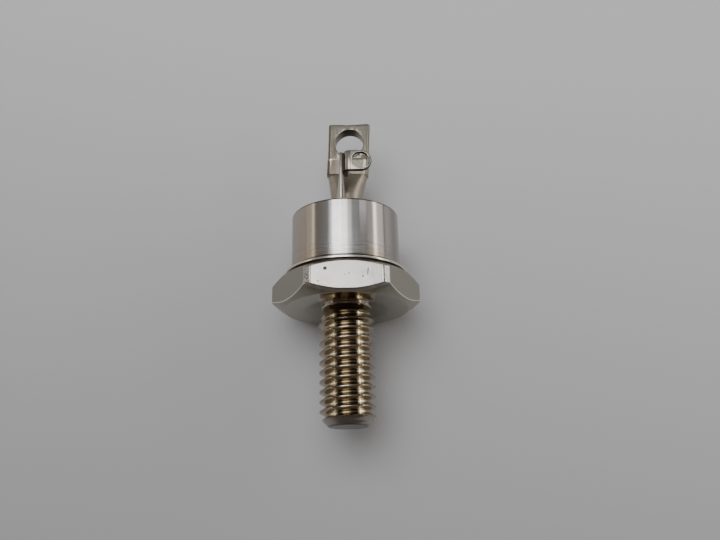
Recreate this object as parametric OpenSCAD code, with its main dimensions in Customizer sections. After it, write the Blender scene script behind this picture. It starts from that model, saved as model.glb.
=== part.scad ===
// Stud-mount controlled rectifier in a sealed metal case, lying on one flat of its hexagon.
// Every module is drawn upright, with the stud down and the terminals up, and lay_down() turns it
// so that the terminals point along +Y, the stud along -Y and the front of the device along +Z.
// The origin is the centre of the seating face under the hexagon. Millimetres.

/* [Hexagon base] */
// Width across the flats of the hexagon
across_flats = 14.0; // [13.6:0.1:14.6]
// Diameter to which the six corners are turned down
corner_d = 15.8; // [15.3:0.1:16.0]
// Height of the hexagon
hex_h = 3.45; // [3.2:0.05:4.5]
// Diameter of the flat seating face
seat_d = 13.2; // [12.4:0.1:13.5]
// Diameter of the shallow relief in the seating face round the stud
relief_d = 7.6; // [6.8:0.1:8.4]
// Depth of this relief
relief_depth = 0.1; // [0.05:0.01:0.2]
// Slope of the chamfer between the seating face and the corners, in degrees
lower_chamfer_angle = 35; // [25:1:45]
// Diameter of the flat land on top of the hexagon
top_land_d = 13.1; // [12.8:0.05:13.5]
// Slope of the chamfer between the top land and the corners, in degrees
upper_chamfer_angle = 32; // [25:1:40]
// Diameter of the pedestal that carries the silicon
pedestal_d = 7.4; // [7.0:0.1:8.6]
// Height of the pedestal above the hexagon
pedestal_h = 0.75; // [0.4:0.05:1.2]

/* [Stud] */
// Outside diameter of the stud over its thread crests
stud_d = 5.88; // [5.6:0.02:6.0]
// Length of the stud below the seating face
stud_len = 12.2; // [8:0.1:16]
// Diameter of the neck between the thread and the seating face
neck_d = 5.0; // [4.4:0.1:5.4]
// Length of the neck
neck_len = 0.9; // [0.5:0.1:1.5]
// Fillet at the root of the neck
neck_fillet = 0.2; // [0.05:0.05:0.3]
// Diameter of the flat tip, inside the end chamfer
tip_d = 4.0; // [3.4:0.1:4.6]

/* [Weld ring] */
// Outside diameter of the steel ring let into the top of the hexagon
ring_outer_d = 12.4; // [12.0:0.1:12.6]
// Inside diameter of the steel ring
ring_inner_d = 9.7; // [9.0:0.1:9.9]
// Depth of the groove that holds the ring
ring_depth = 0.6; // [0.3:0.05:0.9]
// How far the ring stands above the hexagon
ring_proud = 0.15; // [0.05:0.05:0.3]

/* [Case] */
// Outside diameter of the case
case_d = 11.7; // [11.2:0.1:12.2]
// Height of the case from its weld flange to its roof
case_h = 6.87; // [6.4:0.01:9]
// Thickness of the side wall
case_wall = 0.75; // [0.4:0.05:0.9]
// Thickness of the roof
roof_t = 1.1; // [0.8:0.05:1.5]
// Diameter of the weld flange
flange_d = 13.14; // [12.8:0.02:13.4]
// Thickness of the weld flange
flange_t = 0.32; // [0.2:0.02:0.5]
// Fillet between the wall and the weld flange
flange_fillet = 0.3; // [0.1:0.05:0.4]
// Chamfer on the outer edge of the roof
roof_edge = 0.1; // [0.05:0.05:0.3]
// Fillet inside the roof
roof_fillet = 0.4; // [0.1:0.1:0.8]
// Diameter of the mouth in the roof, which the glass fills
mouth_d = 7.8; // [7.2:0.1:8.6]

/* [Glass seal] */
// Thickness of the glass
glass_t = 0.95; // [0.6:0.05:1.1]
// How far the glass lies below the roof
glass_recess = 0.15; // [0:0.05:0.3]
// How far the glass climbs each tube
glass_climb = 0.12; // [0.1:0.01:0.2]
// How far the glass collar spreads round each tube
collar_w = 0.36; // [0.2:0.02:0.4]

/* [Main terminal] */
// Outside diameter of the tube
tube_d = 3.6; // [3.2:0.05:3.8]
// Wall of the tube
tube_wall = 0.68; // [0.55:0.01:0.76]
// Sideways place of the tube where it passes the roof
main_x = 0.11; // [-0.2:0.01:0.4]
// How far the tube sits behind the middle
main_back = 1.0; // [0.9:0.05:1.2]
// Sideways lean of the terminal, in degrees
main_lean = 2.8; // [0:0.1:4]
// Turn of the terminal about its own length, in degrees
main_twist = 4; // [0:0.5:8]
// Length of the tube inside the case, below the roof
tube_inside = 0.8; // [0.3:0.1:1.5]
// Length of the round tube above the roof
round_len = 2.85; // [1.5:0.05:4]
// Length over which the tube is pressed from round to flat
wedge_len = 2.88; // [2:0.02:4]
// Thickness at the end of the wedge, beside the pinch
wedge_t = 1.95; // [1.8:0.01:2.2]
// Length of the pinch that closes the tube
pinch_len = 2.2; // [1.4:0.1:3]
// Thickness of the pinch
pinch_t = 1.3; // [1.2:0.02:1.5]
// Length of each step beside the pinch
pinch_step = 0.12; // [0.05:0.01:0.2]
// Thickness of the flat tab, which is two layers of the tube
tab_t = 1.4; // [1.36:0.01:1.8]
// Rounding of the long edges of the pinch and the tab, which the press squares up
tab_corner = 0.35; // [0.2:0.01:0.55]
// How far each long edge of the pinch and the tab spreads beyond the tube's own girth
edge_spread = 0.06; // [0:0.01:0.12]
// Width of the seam between the two layers at the end of the tab
layer_gap = 0.12; // [0.06:0.01:0.2]
// Depth of this seam, below which the layers are pressed tight
seam_depth = 0.45; // [0.2:0.05:0.5]
// Length of the tab beyond the pinch
tab_len = 4.48; // [4:0.02:6]
// Diameter of the hole in the tab
tab_hole_d = 3.3; // [3.0:0.1:3.6]
// Height of the hole's centre above the pinch
tab_hole_up = 1.95; // [1.7:0.05:2.2]
// Rounding of the edges of the hole
tab_hole_edge = 0.08; // [0.05:0.01:0.25]

/* [Gate terminal] */
// Outside diameter of the gate tube
gate_d = 0.95; // [0.8:0.01:1.1]
// Wall of the gate tube
gate_wall = 0.2; // [0.15:0.01:0.25]
// Sideways place of the gate tube
gate_x = -0.38; // [-0.8:0.02:0]
// How far the gate tube sits in front of the middle
gate_front = 2.3; // [2.1:0.05:2.5]
// Length of the gate tube inside the case, below the roof
gate_inside = 0.6; // [0.3:0.1:1.2]
// Length of the round gate tube above the roof
gate_round_len = 1.7; // [1:0.1:3]
// Length over which the gate tube is pressed flat
gate_wedge_len = 3.2; // [2:0.1:4]
// Length of the wedge's upper end that is pressed solid
gate_solid_len = 0.8; // [0.4:0.1:1.4]
// Length of the flat blade
blade_len = 2.1; // [1.8:0.1:3]
// Thickness of the blade
blade_t = 0.34; // [0.3:0.01:0.4]
// Radius of the blade's upper corners
blade_corner = 0.3; // [0.1:0.05:0.5]

/* [Gate lug] */
// Thickness of the bent strip
lug_t = 0.45; // [0.35:0.01:0.55]
// Height of the strip at its bend
lug_h = 2.44; // [2:0.01:2.6]
// How far the strip starts below the top of the blade
lug_drop = 2.42; // [2.3:0.01:2.8]
// How far the leg reaches back from the front of the lug
leg_depth = 1.8; // [1.6:0.05:2.2]
// How far the front of the lug stands in front of the middle of the gate tube
lug_front = 0.9; // [0.75:0.05:1.2]
// Inside radius of the bend
bend_r = 0.2; // [0.05:0.05:0.3]
// How far the flag is bent past the square, in degrees
flag_turn = 2; // [0:1:20]
// Distance from the bend's centre to the eye
eye_reach = 1.18; // [1.1:0.02:1.8]
// Height of the eye above the lower edge of the strip
eye_up = 1.22; // [1.1:0.02:1.3]
// Outside diameter of the eye
eye_d = 2.44; // [2.2:0.02:2.6]
// Diameter of the hole in the eye
eye_hole_d = 1.94; // [1.5:0.02:2.0]
// Gap between the blade and the leg
lug_gap = 0.14; // [0.05:0.01:0.3]
// Diameter of the weld projection that bridges this gap
weld_d = 0.6; // [0.5:0.1:1.0]

/* [Silicon and its contacts] */
// Thickness of the solder under the anode disc
base_solder_t = 0.1; // [0.05:0.01:0.2]
// Diameter of the molybdenum anode disc
anode_disc_d = 7.0; // [6.8:0.1:7.0]
// Thickness of the anode disc
anode_disc_t = 0.8; // [0.5:0.05:1.0]
// Diameter of the silicon pellet
pellet_d = 6.4; // [6.2:0.05:6.5]
// Thickness of the silicon pellet
pellet_t = 0.4; // [0.25:0.05:0.5]
// How far the coating spreads outside the pellet
coating_foot = 0.3; // [0.1:0.05:0.3]
// How far the coating lies over the rim of the pellet
coating_lap = 0.35; // [0.2:0.05:0.4]
// Thickness of the coating over the pellet
coating_t = 0.25; // [0.1:0.05:0.3]
// Thickness of the solder under the cathode disc
cathode_solder_t = 0.1; // [0.05:0.01:0.2]
// Diameter of the cathode disc
cathode_disc_d = 3.4; // [3.0:0.1:3.5]
// Thickness of the cathode disc
cathode_disc_t = 0.5; // [0.3:0.05:0.6]
// Diameter of the gate solder
gate_solder_d = 0.7; // [0.6:0.05:0.8]
// Height of the gate solder
gate_solder_h = 0.3; // [0.2:0.05:0.4]

/* [Inner leads] */
// Diameter of the copper lead from the cathode disc to the main terminal
lead_d = 2.0; // [1.6:0.05:2.0]
// Diameter of the lead's foot
foot_d = 2.7; // [2.4:0.1:2.9]
// Height of the lead's foot
foot_h = 0.5; // [0.3:0.05:0.8]
// Length of the solder round the lead's upper end
lead_solder_len = 1.2; // [0.6:0.1:2]
// Diameter of the gate wire
gate_wire_d = 0.4; // [0.3:0.02:0.46]
// Height at which the gate wire starts above the pellet, in its solder
gate_wire_foot = 0.1; // [0.05:0.01:0.15]
// Length of the solder round the gate wire's upper end
wire_solder_len = 0.8; // [0.4:0.1:1.4]

/* [Hidden] */
$fn = 96;

// Overrun of every cutter past the face that it opens
over = 0.5;
// Depth to which one drawn form starts inside the one that it grows from
root = 0.05;
// How much narrower a pressed length starts than the round tube it grows from
press_skin = 0.02;
// Width of the flats at that start
press_flat = 0.04;
// Rings along a pressed length, and steps round each end of its section, an odd number
press_rings = 8;
arc_steps = 13;
// Exponents of the pressing: 1 is a straight wedge, more starts gently
main_press_exponent = 1.3;
gate_press_exponent = 1.0;
// Thickness of the gate tube's cavity where it ends
gate_slit_t = 0.11;
// Width of a glass collar at its top, and the depth at which it starts in the glass
collar_top_w = 0.06;
collar_sink = 0.12;

nickel = "#c4c0b6";
bright_nickel = "#d0cdc6";
steel = "#b4b2ac";
solder_grey = "#a7a8a6";
copper = "#b87333";

// Heights above the seating face
pedestal_top = hex_h + pedestal_h;
ring_bottom = hex_h - ring_depth;
flange_bottom = hex_h + ring_proud;
roof_top = flange_bottom + case_h;
glass_top = roof_top - glass_recess;
glass_bottom = glass_top - glass_t;
anode_bottom = pedestal_top + base_solder_t;
pellet_bottom = anode_bottom + anode_disc_t;
pellet_top = pellet_bottom + pellet_t;
cathode_bottom = pellet_top + cathode_solder_t;
cathode_top = cathode_bottom + cathode_disc_t;

// Heights along the main terminal, above the roof
pinch_start = round_len + wedge_len;
pinch_end = pinch_start + pinch_len;
tab_end = pinch_end + tab_len;
tab_hole_h = pinch_end + tab_hole_up;
bore_d = tube_d - 2 * tube_wall;

// Sideways place of the lead's foot, where the leaning terminal's line meets the cathode disc
foot_x = main_x - (roof_top - cathode_top) * tan(main_lean);

// Heights along the gate terminal, above the roof
blade_start = gate_round_len + gate_wedge_len;
blade_end = blade_start + blade_len;
gate_bore_d = gate_d - 2 * gate_wall;
// Where the gate wire starts, measured from the roof
wire_low = pellet_top + gate_wire_foot - roof_top;

// The lug: outside radius of its bend, place of the bend's centre, and lower edge
bend_out = bend_r + lug_t;
leg_x = gate_x + blade_t / 2 + lug_gap;
bend_x = leg_x + bend_out;
bend_front = gate_front + lug_front - bend_out;
lug_bottom = roof_top + blade_end - lug_drop;

// Width of a round tube of diameter d once it is pressed to thickness t, its girth unchanged
function pressed_width(d, t) = t + PI / 2 * (d - t);

// Width of its squared-up section, whose corners have radius r and whose edges have spread
function squared_width(d, t, r) = pressed_width(d, t) - (4 - PI) * (t / 2 - r) + 2 * edge_spread;

// Closed section of a pressed tube at height z, with four corners of radius r joined by flats
function pressed_ring(w, t, r, z) =
    [for (side = [1, -1], k = [0 : arc_steps])
        let (a = -90 + 180 * k / arc_steps)
        [side * (w / 2 - r + r * cos(a)), side * (sign(a) * (t / 2 - r) + r * sin(a)), z]];

// Thickness of the pressed tube at share s of its wedge
function wedge_thickness(d, t, s, curve) = d - (d - t) * pow(s, curve);

// Sections of a wedge from just inside a round tube of diameter d to thickness t
function wedge_sections(d, t, z, len, curve) =
    concat([[d - press_skin, d - press_skin - press_flat, (d - press_skin - press_flat) / 2, z - root]],
           [for (k = [1 : press_rings])
               let (s = k / press_rings, thick = wedge_thickness(d, t, s, curve))
               [pressed_width(d, thick), thick, thick / 2, z + len * s]]);

// Skin through a list of sections [width, thickness, corner radius, height]
module pressed_skin(sections) {
    n = 2 * (arc_steps + 1);
    last = len(sections) - 1;
    points = [for (s = sections) each pressed_ring(s[0], s[1], s[2], s[3])];
    walls = [for (j = [0 : last - 1], i = [0 : n - 1])
        [j * n + i, (j + 1) * n + i, (j + 1) * n + (i + 1) % n, j * n + (i + 1) % n]];
    bottom = [for (i = [0 : n - 1]) i];
    top = [for (i = [n - 1 : -1 : 0]) last * n + i];
    polyhedron(points, concat(walls, [bottom, top]), convexity = 6);
}

module lay_down() {
    rotate([-90, 0, 0]) children();
}

module at_height(h) {
    translate([0, 0, h]) children();
}

// Line of the main terminal: its foot is on the roof, and it leans and turns with the tube
module on_main_line() {
    translate([main_x, main_back, roof_top])
        rotate([0, main_lean, 0])
            rotate([0, 0, -main_twist]) children();
}

module on_gate_line() {
    translate([gate_x, -gate_front, roof_top]) children();
}

// Concave fillet in the corner of +x and +y
module corner_fillet(r) {
    difference() {
        square(r);
        translate([r, r]) circle(r);
    }
}

// Half section of the turned base: stud, neck, relief, seating face, chamfers and pedestal
module base_section() {
    tip_rise = (stud_d - tip_d) / 2;
    step_rise = (stud_d - neck_d) / 2;
    low_rise = (corner_d - seat_d) / 2 * tan(lower_chamfer_angle);
    top_drop = (corner_d - top_land_d) / 2 * tan(upper_chamfer_angle);
    polygon([
        [0, -stud_len],
        [tip_d / 2, -stud_len],
        [stud_d / 2, -stud_len + tip_rise],
        [stud_d / 2, -neck_len - step_rise],
        [neck_d / 2, -neck_len],
        [neck_d / 2, relief_depth],
        [relief_d / 2 - relief_depth, relief_depth],
        [relief_d / 2, 0],
        [seat_d / 2, 0],
        [corner_d / 2, low_rise],
        [corner_d / 2, hex_h - top_drop],
        [top_land_d / 2, hex_h],
        [pedestal_d / 2, hex_h],
        [pedestal_d / 2, pedestal_top],
        [0, pedestal_top]
    ]);
    translate([neck_d / 2, relief_depth]) mirror([0, 1]) corner_fillet(neck_fillet);
}

module stud_base() {
    color(nickel) lay_down() difference() {
        intersection() {
            rotate_extrude() base_section();
            at_height(-stud_len - over)
                cylinder(h = stud_len + pedestal_top + 2 * over, d = across_flats / cos(30), $fn = 6);
        }
        at_height(ring_bottom) ring_shape(ring_depth + over);
    }
}

module ring_shape(h) {
    difference() {
        cylinder(h = h, d = ring_outer_d);
        at_height(-over) cylinder(h = h + 2 * over, d = ring_inner_d);
    }
}

module weld_ring() {
    color(steel) lay_down() at_height(ring_bottom) ring_shape(ring_depth + ring_proud);
}

// Half section of the case, with its foot at height 0
module case_section() {
    inner_r = case_d / 2 - case_wall;
    difference() {
        union() {
            translate([mouth_d / 2, 0]) square([(case_d - mouth_d) / 2, case_h]);
            translate([inner_r, 0]) square([flange_d / 2 - inner_r, flange_t]);
            translate([case_d / 2, flange_t]) corner_fillet(flange_fillet);
        }
        difference() {
            translate([0, -over]) square([inner_r, case_h - roof_t + over]);
            translate([inner_r, case_h - roof_t]) rotate(180) corner_fillet(roof_fillet);
        }
        translate([case_d / 2, case_h]) rotate(45) square(roof_edge * sqrt(2), center = true);
    }
}

module case_shell() {
    color(bright_nickel) lay_down() at_height(flange_bottom) rotate_extrude() case_section();
}

// Collar of glass that climbs a tube of diameter d, on the line of the tube
module glass_collar(d) {
    at_height(-glass_recess - collar_sink)
        cylinder(h = collar_sink + glass_climb, d1 = d + 2 * collar_w, d2 = d + 2 * collar_top_w);
}

module glass_seal() {
    color("#7f8f86") lay_down() difference() {
        union() {
            at_height(glass_bottom) cylinder(h = glass_t, d = mouth_d);
            on_main_line() glass_collar(tube_d);
            on_gate_line() glass_collar(gate_d);
        }
        on_main_line() at_height(-roof_t - over) cylinder(h = roof_t + 2 * over, d = tube_d);
        on_gate_line() at_height(-roof_t - over) cylinder(h = roof_t + 2 * over, d = gate_d);
    }
}

// Space inside the main terminal, from its open lower end to the pinch
module main_cavity() {
    cavity_wedge_t = wedge_t - 2 * tube_wall;
    pressed_skin(wedge_sections(bore_d, cavity_wedge_t, round_len, wedge_len, main_press_exponent));
    at_height(-roof_t - tube_inside) cylinder(h = roof_t + tube_inside + round_len, d = bore_d);
}

// Hole through the tab with both edges rounded
module tab_hole() {
    face = tab_t / 2;
    rotate([90, 0, 0]) {
        cylinder(h = 2 * (face + over), d = tab_hole_d, center = true);
        for (side = [0, 1])
            mirror([0, 0, side]) rotate_extrude() {
                translate([tab_hole_d / 2, face]) mirror([0, 1]) corner_fillet(tab_hole_edge);
                translate([0, face - tab_hole_edge]) square([tab_hole_d / 2, tab_hole_edge + over]);
            }
    }
}

module main_terminal() {
    pinch_w = squared_width(tube_d, pinch_t, tab_corner);
    tab_w = squared_width(tube_d, tab_t, tab_corner);
    layer_w = pressed_width(bore_d, layer_gap);
    pressed = concat(
        wedge_sections(tube_d, wedge_t, round_len, wedge_len, main_press_exponent),
        [[pinch_w, pinch_t, tab_corner, pinch_start + pinch_step],
         [pinch_w, pinch_t, tab_corner, pinch_end - pinch_step],
         [tab_w, tab_t, tab_corner, pinch_end],
         [tab_w, tab_t, tab_corner, tab_end]]);
    color(nickel) lay_down() on_main_line() difference() {
        union() {
            at_height(-roof_t - tube_inside) cylinder(h = roof_t + tube_inside + round_len, d = tube_d);
            pressed_skin(pressed);
        }
        main_cavity();
        at_height(-roof_t - tube_inside - over) cylinder(h = 2 * over, d = bore_d);
        translate([-layer_w / 2, -layer_gap / 2, tab_end - seam_depth])
            cube([layer_w, layer_gap, seam_depth + over]);
        at_height(tab_hole_h) tab_hole();
    }
}

// Space inside the gate tube, from its open lower end to the blade
module gate_cavity() {
    pressed_skin(wedge_sections(gate_bore_d, gate_slit_t, gate_round_len, gate_wedge_len - gate_solid_len,
                                gate_press_exponent));
    at_height(-roof_t - gate_inside) cylinder(h = roof_t + gate_inside + gate_round_len, d = gate_bore_d);
}

module gate_stem() {
    blade_w = pressed_width(gate_d, blade_t);
    pressed = concat(
        wedge_sections(gate_d, blade_t, gate_round_len, gate_wedge_len, gate_press_exponent),
        [[blade_w, blade_t, blade_t / 2, blade_end]]);
    color(nickel) lay_down() on_gate_line() difference() {
        union() {
            at_height(-roof_t - gate_inside) cylinder(h = roof_t + gate_inside + gate_round_len, d = gate_d);
            rotate(90) pressed_skin(pressed);
        }
        rotate(90) gate_cavity();
        at_height(-roof_t - gate_inside - over) cylinder(h = 2 * over, d = gate_bore_d);
        for (side = [0, 1])
            mirror([0, side, 0]) translate([0, blade_w / 2, blade_end])
                rotate([0, -90, 0]) linear_extrude(blade_t + 2 * over, center = true)
                    mirror([1, 0]) mirror([0, 1]) corner_fillet(blade_corner);
    }
}

// Outline of the flag with its round eye, seen from the front, from the bend rightwards
module flag_outline() {
    polygon([[0, 0], [eye_reach, eye_up - eye_d / 2], [eye_reach, eye_up + eye_d / 2], [0, lug_h]]);
    translate([eye_reach, eye_up]) circle(d = eye_d);
}

module gate_lug() {
    leg_len = leg_depth - bend_out;
    color(bright_nickel) lay_down() at_height(lug_bottom) {
        translate([leg_x, -bend_front, 0]) cube([lug_t, leg_len, lug_h]);
        translate([leg_x - lug_gap, -gate_front, lug_h / 2]) rotate([0, 90, 0])
            cylinder(h = lug_gap + root, d = weld_d);
        translate([bend_x, -bend_front, 0]) {
            rotate(180) rotate_extrude(angle = 90 + flag_turn)
                translate([bend_r, 0]) square([lug_t, lug_h]);
            rotate(flag_turn) difference() {
                translate([0, -bend_r, 0]) rotate([90, 0, 0]) linear_extrude(lug_t) flag_outline();
                translate([eye_reach, 0, eye_up]) rotate([90, 0, 0])
                    cylinder(h = bend_out + over, d = eye_hole_d);
            }
        }
    }
}

module base_solder() {
    color(solder_grey) lay_down() at_height(pedestal_top) cylinder(h = base_solder_t, d = anode_disc_d);
}

module anode_disc() {
    color("#8d9096") lay_down() at_height(anode_bottom) cylinder(h = anode_disc_t, d = anode_disc_d);
}

module silicon_pellet() {
    color("#4a4f57") lay_down() at_height(pellet_bottom) cylinder(h = pellet_t, d = pellet_d);
}

// Ring of coating that seals the rim of the pellet down to the anode disc
module junction_coating() {
    color("#d9d4c8") lay_down() at_height(pellet_bottom) rotate_extrude()
        polygon([
            [pellet_d / 2, 0],
            [pellet_d / 2 + coating_foot, 0],
            [pellet_d / 2, pellet_t + coating_t],
            [pellet_d / 2 - coating_lap, pellet_t],
            [pellet_d / 2, pellet_t]
        ]);
}

module cathode_solder() {
    color(solder_grey) lay_down() translate([foot_x, main_back, pellet_top])
        cylinder(h = cathode_solder_t, d = cathode_disc_d);
}

module cathode_disc() {
    color("#8d9096") lay_down() translate([foot_x, main_back, cathode_bottom])
        cylinder(h = cathode_disc_t, d = cathode_disc_d);
}

module lead_rod(low) {
    at_height(low) cylinder(h = round_len - root - low, d = lead_d);
}

module inner_lead() {
    foot_mid = cathode_top + foot_h / 2;
    color(copper) lay_down() {
        translate([foot_x, main_back, cathode_top]) cylinder(h = foot_h, d = foot_d);
        on_main_line() lead_rod(-(roof_top - foot_mid) / cos(main_lean));
    }
}

module lead_solder() {
    color(solder_grey) lay_down() on_main_line() difference() {
        main_cavity();
        at_height(-roof_t - tube_inside - over)
            cylinder(h = roof_t + tube_inside + over + round_len - lead_solder_len, d = tube_d);
        lead_rod(0);
    }
}

module wire_rod(low) {
    at_height(low) cylinder(h = gate_round_len - root - low, d = gate_wire_d);
}

module gate_solder() {
    color(solder_grey) lay_down() difference() {
        translate([gate_x, -gate_front, pellet_top]) cylinder(h = gate_solder_h, d = gate_solder_d);
        on_gate_line() wire_rod(wire_low);
    }
}

module gate_wire() {
    color("#cfcfcf") lay_down() on_gate_line() wire_rod(wire_low);
}

module wire_solder() {
    color(solder_grey) lay_down() on_gate_line() rotate(90) difference() {
        gate_cavity();
        at_height(-roof_t - gate_inside - over)
            cylinder(h = roof_t + gate_inside + over + gate_round_len - wire_solder_len, d = gate_d);
        wire_rod(0);
    }
}

stud_base();
weld_ring();
case_shell();
glass_seal();
main_terminal();
gate_stem();
gate_lug();
base_solder();
anode_disc();
silicon_pellet();
junction_coating();
cathode_solder();
cathode_disc();
inner_lead();
lead_solder();
gate_solder();
gate_wire();
wire_solder();
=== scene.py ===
"""Looks of a stud-mount controlled rectifier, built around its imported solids.

Lengths are in millimetres until row_point() or upright() turns them into the row frame's metres. A height is
measured from the seating face along the stud's axis, which is the row frame's Y. The front of the part is
its Z. A place on a tube's own line is given as width, back and up, with up measured from the roof.
"""

import math

import bmesh
import bpy
from mathutils import Matrix, Vector, geometry


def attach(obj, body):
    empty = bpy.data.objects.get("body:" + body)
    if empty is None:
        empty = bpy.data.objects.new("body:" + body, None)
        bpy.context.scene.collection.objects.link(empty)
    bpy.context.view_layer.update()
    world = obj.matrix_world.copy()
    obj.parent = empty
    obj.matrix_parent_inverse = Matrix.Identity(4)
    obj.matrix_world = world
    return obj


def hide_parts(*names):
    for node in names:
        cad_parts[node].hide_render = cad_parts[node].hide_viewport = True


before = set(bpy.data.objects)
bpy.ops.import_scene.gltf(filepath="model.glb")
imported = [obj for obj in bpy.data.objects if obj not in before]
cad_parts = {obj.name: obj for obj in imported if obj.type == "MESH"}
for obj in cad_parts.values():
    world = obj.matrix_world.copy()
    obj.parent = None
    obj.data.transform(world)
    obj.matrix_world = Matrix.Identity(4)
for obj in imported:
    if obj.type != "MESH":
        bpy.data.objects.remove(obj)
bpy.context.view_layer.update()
MM = 0.001

# Hexagon base, from the dish round the neck up to the pedestal inside the case
ACROSS_FLATS = 14.0
FLAT_FRONT = ACROSS_FLATS / 2
CORNER_R = 7.9
FLAT_HALF_W = math.sqrt(CORNER_R**2 - FLAT_FRONT**2)
HEX_H = 3.45
SEAT_R = 6.6
LAND_R = 6.55
LOWER_SLOPE = math.tan(math.radians(35))
UPPER_SLOPE = math.tan(math.radians(32))
DISH_R = 4.4
DISH_DEPTH = 0.31
DISH_FLOOR_R = 2.78
SHOULDER_R = 2.68
SHOULDER_LOW = 0.22
NECK_R = 2.5
RING_OUTER_R = 6.2
RING_INNER_R = 4.85
RING_BOTTOM = 2.85
PEDESTAL_R = 3.7
PEDESTAL_TOP = 4.2

# Threaded stud
CREST_R = 2.94
STUD_LEN = 12.2
TIP_R = 2.0
TIP_ROUND = 0.3
TIP_EASE = 0.06
PITCH = 1.0
THREAD_DEPTH = 0.56

# The thread's profile in shares of the pitch: where a crest lies, half its width, the length of a flank, and
# the rows of points to either side of a crest
CREST_PHASE = 0.46
CREST_HALF = 0.05
FLANK = 0.33
ROW_PHASES = (0.03, 0.07, 0.1, 0.14, 0.2, 0.27, 0.33, 0.37, 0.41, 0.45)

# How softly a flank meets its crest and its root, in shares of the flank
CREST_EASE = 0.075
ROOT_EASE = 0.05

# The thread's end in the neck, as depths below the seat: where the groove fades out, where it is at its full
# depth, and where the cone begins that opens from the neck to the crests
RUN_OUT = 0.15
FULL_GROOVE = 0.5
CONE_START = 0.35
CONE_SLOPE = 0.42

# Case and glass. The glass climbs over a length up the metal, and the holes for the tubes are cut between two
# heights from the roof
CASE_R = 5.85
CASE_BORE_R = 5.1
FLANGE_R = 6.57
FLANGE_BOTTOM = 3.6
FLANGE_TOP = 3.92
ROOF_TOP = 10.47
ROOF_T = 1.1
MOUTH_R = 3.9
GLASS_TOP = 10.32
GLASS_BOTTOM = 9.37
GLASS_CLIMB = 0.16
THROUGH_GLASS = (-3, 2)

# Main terminal: the tube's own line stands on the roof, leans to the right and is turned a little. Along it
# lie the round foot, the wedge, the pinch and the tab
TUBE_D = 3.6
TUBE_WALL = 0.68
MAIN_X = 0.11
MAIN_BACK = 1.0
MAIN_LEAN = math.radians(2.8)
MAIN_TWIST = math.radians(4)
TUBE_FOOT = -1.9
ROUND_LEN = 2.85
WEDGE_LEN = 2.88
WEDGE_T = 1.95
WEDGE_EXPONENT = 1.3
PINCH_START = ROUND_LEN + WEDGE_LEN
PINCH_T = 1.3
PINCH_STEP = 0.12
PINCH_END = 7.93
TAB_T = 1.4
TAB_CORNER = 0.35
EDGE_SPREAD = 0.06
TAB_END = 12.41
TAB_END_EASE = 0.03
TAB_FLARE = 0.14
TAB_HOLE_R = 1.65
TAB_HOLE_EDGE = 0.08
TAB_HOLE_UP = 9.8
TAB_HOLE_SHIFT = 0.08
TAB_HOLE_STRETCH = 1.05
SEAM_DEPTH = 0.45
SEAM_W = 3.45
SEAM_GAP = 0.12

# Middle of the tab's hole in the row frame: right and height
HOLE_X = 0.67
HOLE_HEIGHT = 20.26

# Uneven cut at the tab's end: its drop, the small step in it, where it rises to nothing on the right, and how
# far below the end its points are moved
CUT_DROP = 0.13
CUT_STEP = 0.06
CUT_STEP_FROM = -0.7
CUT_STEP_TO = -0.4
CUT_RISE_END = 2.1
CUT_RISE_LEN = 2.5
CUT_ZONE = 0.3

# Gate terminal and its lug
GATE_D = 0.95
GATE_WALL = 0.2
GATE_X = -0.38
GATE_FRONT = 2.3
GATE_FOOT = -1.7
GATE_ROUND_LEN = 1.7
GATE_WEDGE_LEN = 3.2
GATE_SOLID_LEN = 0.8
GATE_SLIT_T = 0.11
BLADE_END = 7.0
BLADE_T = 0.34
BLADE_CORNER = 0.3
BLADE_THINNING = 0.04
LUG_T = 0.45
LUG_H = 2.44
LUG_BOTTOM = 15.05
LUG_EDGE = 0.09
LEG_X = -0.07
LEG_LEN = 1.15
LEG_CORNER = 0.12
LEG_CORNER_MIDDLE = 0.035
LEG_MIDDLE = 0.7
BEND_R = 0.2
BEND_STEPS = 14
BEND_FRONT = 2.55
FLAG_TURN = math.radians(2)
EYE_REACH = 1.18
EYE_R = 1.22
EYE_HOLE_R = 0.97
LUG_GAP = 0.14
WELD_R = 0.3
WELD_SUNK = 0.02
BURR_BACK = 1.8
BURR_FRONT = 2.72

# Corners of a square, how far a cutter reaches past the metal, and a gap too small to see
SQUARE = ((-1, -1), (1, -1), (1, 1), (-1, 1))
PAST = 0.5
HAIR = 1e-3


# Points and outlines


def row_point(x, height, front):
    """A point of the row frame in metres."""
    return Vector((x, height, front)) * MM


def around_axis(radius, angle, height):
    """A point round the stud's axis; angle 0 is the front and a quarter turn is the right."""
    return row_point(radius * math.sin(angle), height, radius * math.cos(angle))


def upright(x, back, height):
    """Matrix from lengths in millimetres (right, back, up) round a foot to the row frame, in metres."""
    lay_down = Matrix.Rotation(-math.pi / 2, 4, "X")
    return Matrix.Scale(MM, 4) @ lay_down @ Matrix.Translation((x, back, height))


def main_line():
    """Matrix from the main tube's own line to the row frame, in metres."""
    lean = Matrix.Rotation(MAIN_LEAN, 4, "Y") @ Matrix.Rotation(-MAIN_TWIST, 4, "Z")
    return upright(MAIN_X, MAIN_BACK, ROOF_TOP) @ lean


def gate_line():
    """Matrix from the gate tube's own line to the row frame, in metres."""
    return upright(GATE_X, -GATE_FRONT, ROOF_TOP)


def smooth_step(low, high, value):
    """0 below low, 1 above high and eased between."""
    share = min(1.0, max(0.0, (value - low) / (high - low)))
    return share * share * (3 - 2 * share)


def soft_min(a, b, width):
    """The smaller of two lengths, eased over about the given width where they cross."""
    low, gap = min(a, b), abs(a - b) / width
    return low - width * math.log1p(math.exp(-gap)) if gap < 30 else low


def even_angles(count):
    """Angles of a full turn in equal steps."""
    return [math.tau * i / count for i in range(count)]


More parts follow.
